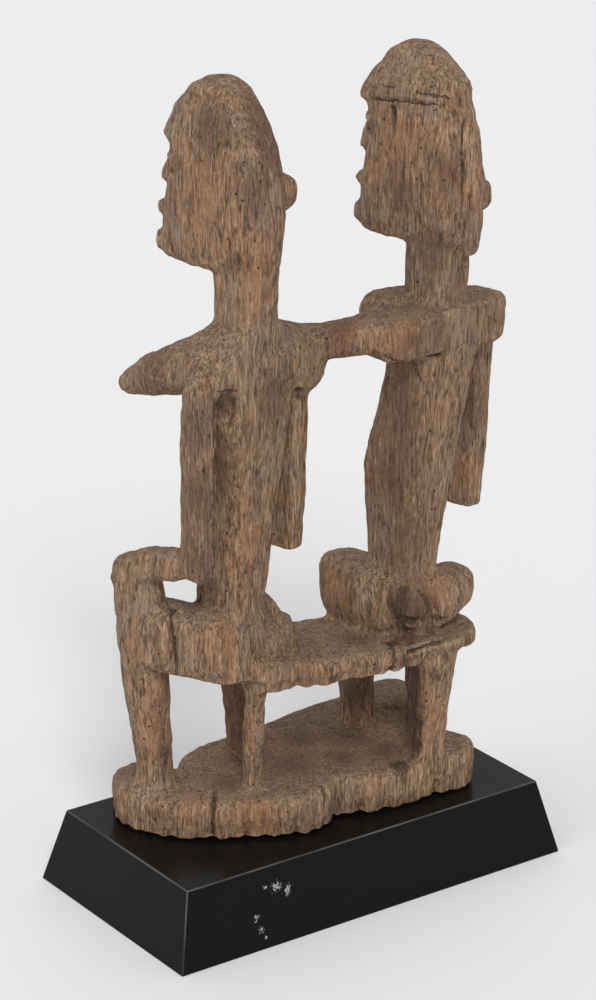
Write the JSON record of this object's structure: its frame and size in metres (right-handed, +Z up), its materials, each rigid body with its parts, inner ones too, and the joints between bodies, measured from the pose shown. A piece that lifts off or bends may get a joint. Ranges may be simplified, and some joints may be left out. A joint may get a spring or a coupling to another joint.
{
  "type": "carved seated couple on a plinth",
  "caption": "Weathered wooden carving of a man and a woman seated side by side on a bench, his arm on her shoulder, on a black plinth.",
  "frame": {"origin": "centre of the plinth's underside, on the surface that the object stands on", "axes": "+Z up, the figures face -Y, and the woman is on the +X side of the man"},
  "size_m": [0.126, 0.068, 0.2273],
  "materials": {
    "weathered_wood": "dry weathered wood, matte",
    "black_lacquer": "black satin lacquer"
  },
  "bodies": {
    "root": {"carved_couple": "weathered_wood", "plinth": "black_lacquer"}
  },
  "joints": []
}
